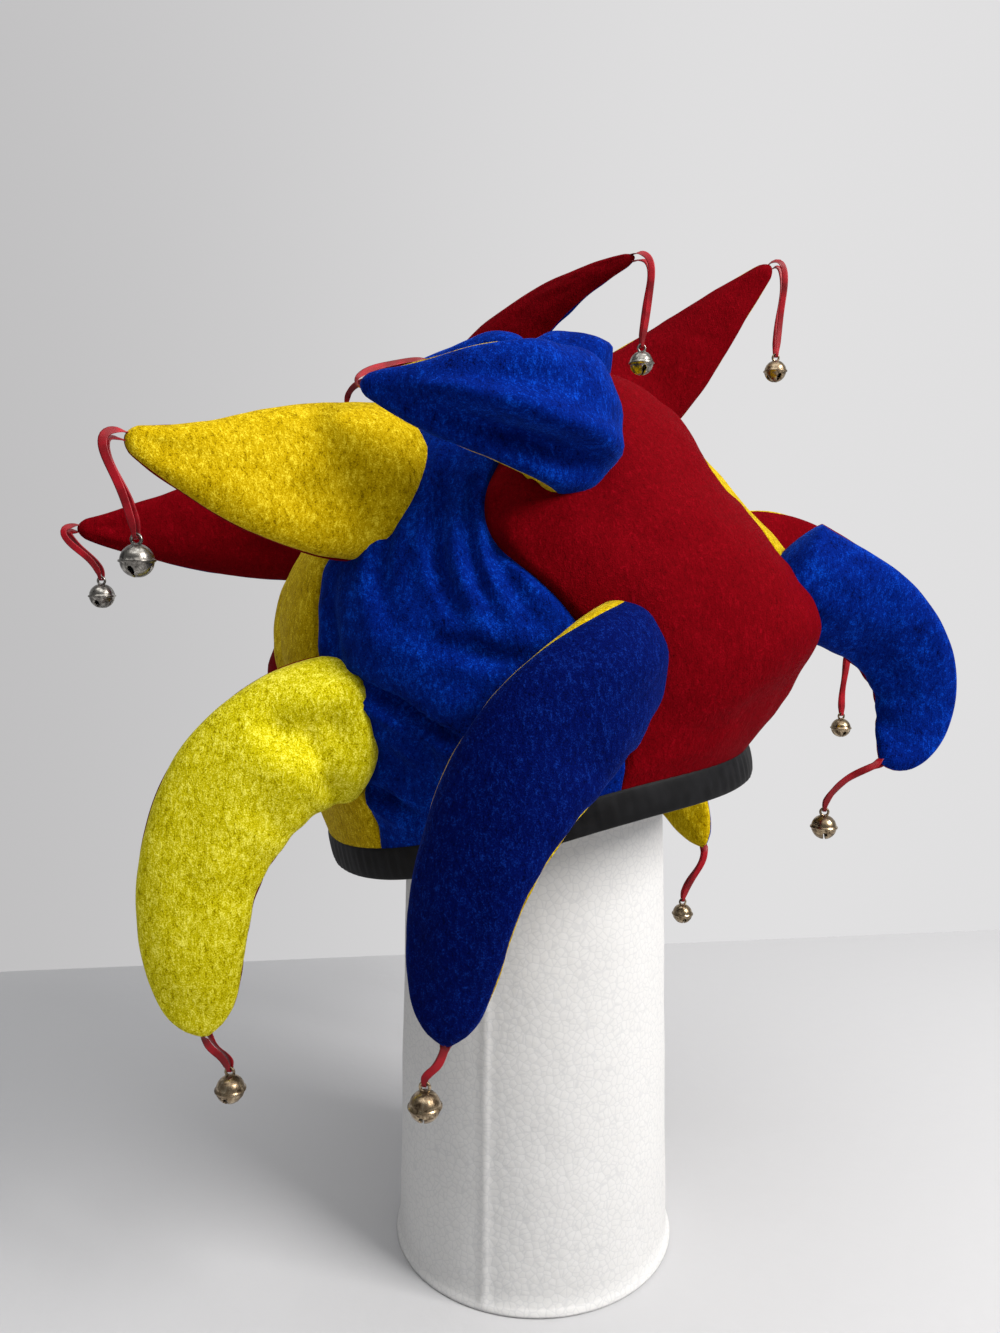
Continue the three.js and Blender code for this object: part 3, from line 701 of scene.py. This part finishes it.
def makeFoam():
    finish = Finish("moulded_foam")
    spot = finish.place("Object")
    beads = finish.cells(spot, 330, "SMOOTH_F1", 0.3)
    gaps = finish.cells(spot, 330, "DISTANCE_TO_EDGE")
    soft = finish.noise(spot, 60, 3)
    pits = finish.noise(spot, 700, 3, 0.6)
    tone = finish.ramp(gaps, (0.0, (0.6, 0.6, 0.6)), (0.12, (0.68, 0.675, 0.665)))
    colour = finish.mix(finish.sum(soft, 0.3, "MULTIPLY"), tone, (0.6, 0.59, 0.58))
    height = finish.sum(finish.sum(beads, -1.0, "MULTIPLY"), finish.sum(pits, 0.35, "MULTIPLY"))
    dents = finish.bump(soft, 0.35, 0.0018)
    normal = finish.bump(height, 0.14, 0.001, dents)
    return finish.set(color=colour, rough=0.85, normal=normal, specular=0.25).material


def makeStage(name, colour):
    finish = Finish(name)
    grain = finish.noise(finish.place("Object"), 90, 3)
    normal = finish.bump(grain, 0.15, 0.002)
    return finish.set(color=colour, rough=0.8, normal=normal, specular=0.2).material


velour = {name: makeVelour(name, look) for name, look in velours.items()}
blackSatin = makeSatin("black", (0.0015, 0.0015, 0.002), (0.005, 0.005, 0.006), 0.6, 0.15)
redSatin = makeSatin("red", (0.15, 0.0, 0.003), (0.34, 0.002, 0.01), 0.4, 0.28)
brass = makeBellMetal("brass", (0.06, 0.04, 0.024), (0.25, 0.185, 0.115), (0.5, 0.4, 0.27))
nickel = makeBellMetal("nickel", (0.06, 0.056, 0.052), (0.2, 0.187, 0.168), (0.45, 0.43, 0.39))
print("finishes made")


def dress(piece, node):
    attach(piece, "root")
    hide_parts(node)


def areaOf(grid):
    a = grid[1:, :-1] - grid[:-1, :-1]
    b = grid[:-1, 1:] - grid[:-1, :-1]
    c = grid[1:, :-1] - grid[1:, 1:]
    d = grid[:-1, 1:] - grid[1:, 1:]
    size = lambda u, v: np.linalg.norm(np.cross(u, v), axis=-1).sum() / 2
    return (size(a, b) + size(c, d)) * mm * mm


# Measures a piece of cloth's flat width, length and area from its surface without the small folds, and
# keeps none of them.
def layOut(smooth):
    width = np.linalg.norm(np.diff(smooth, axis=0), axis=-1).sum(0).max() * mm
    length = np.linalg.norm(np.diff(smooth, axis=1), axis=-1).sum(1).max() * mm
    area = min(max(areaOf(smooth), 0.31 * width * length), width * length)


# Crown gores
columns = np.linspace(0, 1, crown["columns"])
columns = columns - 0.09 * np.sin(2 * np.pi * columns)  # finer towards the seams
rows = crown["top"] * np.linspace(0, 1, crown["rows"]) ** 1.05
for k, (name, colour) in enumerate(gores):
    share, at = np.meshgrid(columns, rows, indexing="ij")
    angle = seamLine(k, at) * (1 - share) + seamLine(k + 1, at) * share
    relief = crownRelief(angle, at)
    outer = crownPoint(angle, at, relief)
    inner = crownPoint(angle, at, np.minimum(relief, 0) - crown["wall"])
    piece = shellPiece("gore_" + name[6:], outer, inner, velour[colour])
    dress(piece, name)
    layOut(crownPoint(angle, at)[::4, ::4])
print("crown gores made")

# Horn leaves
turns = np.linspace(0, np.pi, hornMake["columns"])
for label, horn in horns.items():
    start = -hornMake["inset"] / horn["length"]
    places = start + (1 - start) * np.linspace(0, 1, hornMake["rows"])
    places = np.unique(np.concatenate([places[:-1], hornMake["tipRows"]]))
    for leaf, side, colour in (("face", 1, horn["leaves"][0]), ("back", -1, horn["leaves"][1])):
        turn, at = np.meshgrid(turns[::side], places, indexing="ij")
        relief = leafRelief(label, at, turn, side)
        # the listed leaves take a lighter or darker copy of their velour: painted light and shade
        finish = paintedLightCopies.get((label, leaf), colour)
        outer = leafPoint(horn, at, turn, side, 0, relief)
        inner = leafPoint(horn, at, turn, side, hornMake["wall"], np.minimum(relief, 0))
        # below its foot line the leaf is tucked in through the crown's seam
        tuck = np.clip(-at * horn["length"] / hornMake["inset"], 0, 1)[..., None] * hornMake["tuck"]
        pocket = crownPoint(seamAngle(horn["seam"]), horn["foot"], -hornMake["pocket"])
        outer = outer * (1 - tuck) + pocket * tuck
        inner = inner * (1 - tuck) + pocket * tuck
        piece = shellPiece("leaf_" + label + "_" + leaf, outer, inner, velour[finish])
        dress(piece, "horn_" + label + "_" + leaf)
        layOut(leafPoint(horn, at, turn, side)[::3, ::3])
print("horn leaves made")

# Rim binding: a folded band of black satin that follows the gores' lower edge
binding = {"width": 12, "thickness": 3.6, "seat": 0.9, "around": 320, "section": 18}


def makeBinding():
    angle = np.linspace(0, 360, binding["around"], endpoint=False)
    edge = crownPoint(angle, 0, -crown["wall"] / 2)
    radial = np.stack([np.sin(np.radians(angle)), -np.cos(np.radians(angle)), 0 * angle], -1)
    outward = unit(leanOver(radial))
    down = leanOver(np.array([0.0, 0.0, -1.0]))
    half = binding["thickness"] / 2
    rings = []
    for k in range(binding["section"]):
        turn = 2 * np.pi * k / binding["section"]
        out = half * (0.35 + 0.65 * abs(np.sin(turn)) ** 0.6) * np.sign(np.sin(turn) + 1e-9)
        drop = binding["seat"] - 1.5 + (binding["width"] + 1.5) * (0.5 - 0.5 * np.cos(turn))
        gather = np.sin(angle * 1.9 + 3 * np.sin(angle / 17)) * 0.28 * np.sin(turn)
        gather = gather + bumpsAt(edge, 12, 4) * 0.5 * np.sin(turn)
        rings.append(edge + outward * (out + gather)[:, None] + down * drop)
    grid = np.array(rings)
    count, around = grid.shape[:2]
    faces = []
    uvs = []
    for k in range(count):
        for i in range(around):
            a, b = (k + 1) % count, (i + 1) % around
            faces.append([k * around + i, a * around + i, a * around + b, k * around + b])
            uvs.append([(i / 10, k / 10), (i / 10, (k + 1) / 10), ((i + 1) / 10, (k + 1) / 10),
                        ((i + 1) / 10, k / 10)])
    return meshPiece("satin_binding", grid.reshape(-1, 3) * mm, faces, blackSatin, uvs)


piece = makeBinding()
dress(piece, "rim_binding")
rim = crownPoint(np.linspace(0, 360, 200), 0)
rimLength = np.linalg.norm(np.diff(rim, axis=0), axis=1).sum() * mm
print("binding made")

# Bells: a pressed brass ball in two halves with a lip between them, crossed slots and an eye
bell = {
    "radius": 5.5,
    "wall": 0.9,
    "lip": 0.5,
    "slot": 1.1,
    "slotHole": 1.1,
    "wire": 0.55,
    "eyeRadius": 1.7,
    "eyeSeat": 1.3,
    "sides": 48,
}
bellDrop = bell["radius"] + bell["eyeSeat"] + bell["eyeRadius"]


def latheMesh(name, outline, sides):
    bm = bmesh.new()
    rings = []
    for radius, height in outline:
        if radius < 1e-6:
            rings.append([bm.verts.new((0, 0, height * mm))])
        else:
            rings.append([
                bm.verts.new((radius * mm * math.cos(2 * math.pi * k / sides),
                              radius * mm * math.sin(2 * math.pi * k / sides), height * mm))
                for k in range(sides)
            ])
    for low, high in zip(rings, rings[1:]):
        for k in range(sides):
            n = (k + 1) % sides
            if len(low) == 1:
                bm.faces.new([low[0], high[n], high[k]])
            elif len(high) == 1:
                bm.faces.new([low[k], low[n], high[0]])
            else:
                bm.faces.new([low[k], low[n], high[n], high[k]])
    mesh = bpy.data.meshes.new(name)
    bm.to_mesh(mesh)
    bm.free()
    return mesh


def makeBellMesh():
    radius = bell["radius"]
    outline = []
    for degrees in range(-90, 91, 6):
        a = math.radians(degrees)
        lip = bell["lip"] if abs(degrees) < 4 else 0
        outline.append(((radius + lip) * math.cos(a), radius * math.sin(a)))
        if degrees == 0:
            outline[-1] = (radius + lip, -0.28)
            outline.append((radius + lip, 0.28))
    outline[0] = (0, -radius)
    outline[-1] = (0, radius)
    inside = radius - bell["wall"]
    steps = [math.radians(d) for d in range(90, -91, -10)]
    inner = [(inside * math.cos(a), inside * math.sin(a)) for a in steps]
    inner[0] = (0, inside)
    inner[-1] = (0, -inside)
    ball = linked("bell_ball", latheMesh("bell_ball", outline, bell["sides"]))
    hollow = linked("bell_hollow", latheMesh("bell_hollow", list(reversed(inner)), bell["sides"]))
    cutters = [hollow]
    for quarter in (0, 1):
        bm = bmesh.new()
        bmesh.ops.create_cube(bm, size=1)
        long = radius * 1.55
        for v in bm.verts:
            x, y, z = v.co.x * long * mm, v.co.y * bell["slot"] * mm, v.co.z * radius * mm
            if quarter:
                x, y = -y, x
            v.co = (x, y, z - radius * 0.8 * mm)
        for end in (-1, 1):
            x, y = end * long / 2, 0
            if quarter:
                x, y = -y, x
            made = bmesh.ops.create_cone(bm, cap_ends=True, segments=14, radius1=bell["slotHole"] * mm,
                                         radius2=bell["slotHole"] * mm, depth=radius * mm)
            for v in made["verts"]:
                v.co = v.co + Vector((x * mm, y * mm, -radius * 0.8 * mm))
        mesh = bpy.data.meshes.new("bell_slot")
        bm.to_mesh(mesh)
        bm.free()
        cutters.append(linked("bell_slot", mesh))
    for cutter in cutters:
        cut = ball.modifiers.new("cut", "BOOLEAN")
        cut.operation = "DIFFERENCE"
        cut.solver = "EXACT"
        cut.use_self = True
        cut.object = cutter
    depsgraph = bpy.context.evaluated_depsgraph_get()
    mesh = bpy.data.meshes.new_from_object(ball.evaluated_get(depsgraph))
    for thing in [ball] + cutters:
        bpy.data.objects.remove(thing)
    bm = bmesh.new()
    bm.from_mesh(mesh)
    ringSteps, wireSteps = 28, 10
    grid = []
    for i in range(ringSteps):
        a = 2 * math.pi * i / ringSteps
        middle = Vector((math.cos(a), 0, math.sin(a)))
        ring = []
        for k in range(wireSteps):
            b = 2 * math.pi * k / wireSteps
            offset = middle * (bell["wire"] * math.cos(b)) + Vector((0, bell["wire"] * math.sin(b), 0))
            spot = middle * bell["eyeRadius"] + offset + Vector((0, 0, radius + bell["eyeSeat"]))
            ring.append(bm.verts.new(spot * mm))
        grid.append(ring)
    for i in range(ringSteps):
        for k in range(wireSteps):
            a, b = (i + 1) % ringSteps, (k + 1) % wireSteps
            bm.faces.new([grid[i][k], grid[i][b], grid[a][b], grid[a][k]])
    bmesh.ops.recalc_face_normals(bm, faces=bm.faces)
    for face in bm.faces:
        face.smooth = True
    bm.to_mesh(mesh)
    bm.free()
    return mesh


bellMesh = makeBellMesh()
bellMetals = {"top_1": nickel, "top_6": nickel, "top_5": nickel, "top_2": nickel, "low_6": nickel}

# Ribbons: a doubled strand of red satin from the horn's tip through the bell's eye
ribbon = {"width": 3.4, "thickness": 0.5, "steps": 44, "turns": 8, "bow": 0.6, "section": 8,
          "easeIn": 0.16, "sewnIn": 2.0, "swivel": 0.85, "arrive": 0.25, "shortestCord": 30}
ribbonSpread = bell["wire"] + 0.3 + ribbon["thickness"]


def bezier(points, at):
    a, b, c, d = points
    t = np.asarray(at)[:, None]
    return a * (1 - t) ** 3 + 3 * b * t * (1 - t) ** 2 + 3 * c * t**2 * (1 - t) + d * t**3


def ribbonPoints(horn, count):
    along = hornAxes(horn, np.array(1.0))[0]
    tip = hornMiddle(horn, np.array(1.0))
    right, back, down = horn["hang"]
    start = tip + along * (0.3 + ribbonSpread + ribbon["thickness"])
    end = start + np.array([right, back, -down]) * horn["ribbon"]
    slack = math.sqrt(max(0.02, 1 - right**2 - back**2 - down**2))
    leave = start + along * horn["ribbon"] * slack * 0.5
    # its doubled end is sewn into the horn's tip
    start = tip - along * ribbon["sewnIn"]
    arrive = end + np.array([0, 0, horn["ribbon"] * ribbon["arrive"]])
    fine = bezier((start, leave, arrive, end), np.linspace(0, 1, 400))
    run = np.concatenate([[0], np.cumsum(np.linalg.norm(np.diff(fine, axis=0), axis=1))])
    even = np.linspace(0, run[-1], count)
    return np.stack([np.interp(even, run, fine[:, k]) for k in range(3)], -1)


def makeRibbon(label, horn):
    steps = ribbon["steps"]
    line = ribbonPoints(horn, steps + 1)
    tangent = unit(np.gradient(line, axis=0))
    turn = math.radians(horn["turn"][2])
    across = np.array([math.cos(turn), math.sin(turn), 0])
    apart = unit(np.cross(tangent, across))
    t = np.linspace(0, 1, steps + 1)
    seed = horn["seed"]
    facing = wrapDegrees(-2 * horn["turn"][2]) / 2  # the turn that shows its width to the front
    ease = np.clip(t / ribbon["easeIn"], 0, 1)
    swivel = math.radians(facing * ribbon["swivel"]) * ease * ease * (3 - 2 * ease)
    twist = 0.45 * np.sin(np.pi * t) * np.sin(3.1 * t + seed)
    bow = ribbonSpread + ribbon["bow"] * np.sin(np.pi * t) * math.sin(seed)
    width = np.interp(t, [0, 0.06, 0.9, 1.0], [0.8, 1.0, 0.9, 0.5]) * ribbon["width"] * 0.9
    turned = []
    for k in range(steps + 1):
        c, s = math.cos(swivel[k]), math.sin(swivel[k])
        turned.append((across * c - apart[k] * s, apart[k] * c + across * s))
    rings = []

    def ring(middle, out, side, wide):
        points = []
        for k in range(ribbon["section"]):
            a = 2 * math.pi * k / ribbon["section"]
            curl = 0.25 * math.cos(a) ** 2
            points.append(middle + side * (math.cos(a) * wide / 2)
                          + out * (math.sin(a) * ribbon["thickness"] / 2 + curl))
        rings.append(points)

    def strand(k, sign):
        over, off = turned[k]
        lean = twist[k] * sign
        side = over * math.cos(lean) + off * math.sin(lean)
        out = sign * (off * math.cos(lean) - over * math.sin(lean))
        sway = 0.5 * math.sin(2.2 * math.pi * t[k] + seed + 1 - sign) * math.sin(math.pi * t[k])
        ring(line[k] + sign * (off * bow[k] + over * sway), out, side, width[k])

    for k in range(steps + 1):
        strand(k, 1)
    lastOver, lastOff = turned[-1]
    for k in range(1, ribbon["turns"]):
        a = math.pi * k / ribbon["turns"]
        out = lastOff * math.cos(a) + tangent[-1] * math.sin(a)
        ring(line[-1] + out * ribbonSpread, out, lastOver, width[-1])
    for k in range(steps, -1, -1):
        strand(k, -1)
    for k in range(1, ribbon["turns"]):
        a = math.pi * k / ribbon["turns"]
        out = -apart[0] * math.cos(a) - tangent[0] * math.sin(a)
        ring(line[0] + out * ribbonSpread, out, across, width[0])
    count, section = len(rings), ribbon["section"]
    faces = []
    uvs = []
    for i in range(count):
        n = (i + 1) % count
        for k in range(section):
            m = (k + 1) % section
            faces.append([i * section + k, i * section + m, n * section + m, n * section + k])
            uvs.append([(k / section, i / 20), ((k + 1) / section, i / 20),
                        ((k + 1) / section, (i + 1) / 20), (k / section, (i + 1) / 20)])
    verts = np.array(rings).reshape(-1, 3) * mm
    piece = meshPiece("satin_ribbon_" + label, verts, faces, redSatin, uvs)
    bm = bmesh.new()
    bm.from_mesh(piece.data)
    bmesh.ops.recalc_face_normals(bm, faces=bm.faces)
    bm.to_mesh(piece.data)
    bm.free()
    return piece, line, horn["turn"][2] + facing * ribbon["swivel"]


for label, horn in horns.items():
    ribbonPiece, line, eyeTurn = makeRibbon(label, horn)
    dress(ribbonPiece, "ribbon_" + label)
    ball = linked("brass_bell_" + label, bellMesh.copy())
    ball.data.materials.clear()
    ball.data.materials.append(bellMetals.get(label, brass))
    ball.data.transform(
        Matrix.Translation(Vector(line[-1] * mm) - Vector((0, 0, bellDrop * mm)))
        @ Matrix.Rotation(math.radians(eyeTurn), 4, "Z")
    )
    dress(ball, "bell_" + label)
    long = np.linalg.norm(np.diff(line, axis=0), axis=1).sum() * mm
print("ribbons and bells made")

# Foam column: a lip at its foot, a slightly tapered side with a mould line, a rounded top
column = {
    "foot": 64.25,
    "shoulder": 56,
    "lip": 66,
    "lipHeight": 4,
    "dome": 48,
    "mouldLine": -21,
    "ridge": 0.9,
    "ridgeHalfWidth": 1.7,
    "sides": 240,
}
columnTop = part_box("foam_stand")[1][2] / mm


def makeColumn():
    shoulder = columnTop - column["dome"]
    outline = [(0.0, 0.0), (column["lip"] - 1.4, 0.0), (column["lip"], 0.6), (column["lip"], 1.6),
               (column["foot"] + 0.6, column["lipHeight"] * 0.8)]
    for share in np.linspace(0, 1, 60):
        radius = column["foot"] + (column["shoulder"] - column["foot"]) * share
        height = column["lipHeight"] + (shoulder - column["lipHeight"]) * share
        outline.append((radius, height))
    for share in np.linspace(0, 1, 16)[1:]:
        a = math.pi / 2 * share
        outline.append((column["shoulder"] * math.cos(a), shoulder + column["dome"] * math.sin(a)))
    outline[-1] = (0.0, columnTop)
    mesh = latheMesh("foam_column", outline, column["sides"])
    seam = math.radians(column["mouldLine"])
    for v in mesh.vertices:
        radius = math.hypot(v.co.x, v.co.y)
        if radius < 0.03:
            continue
        angle = math.atan2(v.co.x, -v.co.y) - seam
        across = angle * radius / mm / column["ridgeHalfWidth"]
        ridge = column["ridge"] * mm * math.exp(-(across**2))
        wave = noise.noise(v.co * 28) * 0.5 * mm
        if v.co.z < 3 * mm:
            wave, ridge = 0, 0
        v.co.x *= 1 + (ridge + wave) / radius
        v.co.y *= 1 + (ridge + wave) / radius
    for face in mesh.polygons:
        face.use_smooth = True
    mesh.materials.append(makeFoam())
    return linked("foam_column", mesh)


dress(makeColumn(), "foam_stand")
print("column made")

# Stage, camera and light
view = {
    "place": (-16, -460, 320),
    "pitch": 6,
    "focal": 1003,
    "longSide": 1333,
    "sensor": 36,
    "floorEnd": 341,
    "floorSlant": 0.109,
    "stageWide": 4000,
}


def stagePlane(name, corners, colour):
    mesh = bpy.data.meshes.new(name)
    mesh.from_pydata([tuple(c * mm for c in corner) for corner in corners], [], [(0, 1, 2, 3)])
    mesh.materials.append(makeStage(name, colour))
    linked(name, mesh)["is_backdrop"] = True


wide = view["stageWide"]
left = view["floorEnd"] - wide * view["floorSlant"]
right = view["floorEnd"] + wide * view["floorSlant"]
floorCorners = [(-wide, -wide, 0), (wide, -wide, 0), (wide, right, 0), (-wide, left, 0)]
stagePlane("pale_floor", floorCorners, (0.53, 0.53, 0.54))

cameraData = bpy.data.cameras.new("camera")
cameraData.sensor_width = view["sensor"]
cameraData.lens = view["focal"] * view["sensor"] / view["longSide"]
camera = linked("camera", cameraData)
camera.location = Vector(view["place"]) * mm
camera.rotation_euler = (math.radians(90 - view["pitch"]), 0, 0)
scene.camera = camera

lamps = {
    "window": dict(place=(1000, -620, 1150), aim=(0, 0, 270), size=620, power=30,
                   colour=(1, 0.98, 0.96)),
    "ceiling": dict(place=(-100, -300, 1500), aim=(0, 0, 200), size=1500, power=13,
                    colour=(1, 1, 1)),
}
for name, lamp in lamps.items():
    data = bpy.data.lights.new(name, "AREA")
    data.size = lamp["size"] * mm
    data.energy = lamp["power"]
    data.color = lamp["colour"]
    thing = linked(name, data)
    thing.location = Vector(lamp["place"]) * mm
    aim = (Vector(lamp["aim"]) - Vector(lamp["place"])).normalized()
    thing.rotation_euler = aim.to_track_quat("-Z", "Y").to_euler()
# the room: a pale wall behind the hat, a little darker to the left and on the other sides
room = {
    "wall": (0.75, 0.745, 0.75),
    "wallLeft": (0.51, 0.505, 0.51),
    "sides": (0.23, 0.235, 0.24),
    "turnWidth": 0.6,
    "strength": 1.0,
}
world = bpy.data.worlds.new("room")
world.use_nodes = True
worldNodes = world.node_tree.nodes
worldLinks = world.node_tree.links
direction = worldNodes.new("ShaderNodeTexCoord")
parts = worldNodes.new("ShaderNodeSeparateXYZ")
worldLinks.new(direction.outputs["Generated"], parts.inputs[0])


def roomRamp(source, *stops):
    ramp = worldNodes.new("ShaderNodeValToRGB")
    ramp.color_ramp.interpolation = "EASE"
    for element, (position, colour) in zip(ramp.color_ramp.elements, stops):
        element.position = position
        element.color = (*colour, 1)
    worldLinks.new(source, ramp.inputs["Fac"])
    return ramp.outputs["Color"]


sideways = worldNodes.new("ShaderNodeMapRange")
sideways.inputs["From Min"].default_value = -room["turnWidth"]
sideways.inputs["From Max"].default_value = room["turnWidth"]
worldLinks.new(parts.outputs["X"], sideways.inputs["Value"])
wallTone = roomRamp(sideways.outputs[0], (0.0, room["wallLeft"]), (0.75, room["wall"]))
backwards = roomRamp(parts.outputs["Y"], (0.2, (0, 0, 0)), (0.7, (1, 1, 1)))
blend = worldNodes.new("ShaderNodeMix")
blend.data_type = "RGBA"
worldLinks.new(backwards, blend.inputs["Factor"])
blend.inputs[6].default_value = (*room["sides"], 1)
worldLinks.new(wallTone, blend.inputs[7])
worldLinks.new(blend.outputs[2], worldNodes["Background"].inputs["Color"])
worldNodes["Background"].inputs["Strength"].default_value = room["strength"]
scene.world = world
scene.view_settings.view_transform = "Standard"
print("stage, camera and lamps made")

plain = lambda box: [[float(x) for x in corner] for corner in box]
{"cad": plain(cadBox), "visual": plain(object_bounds())}
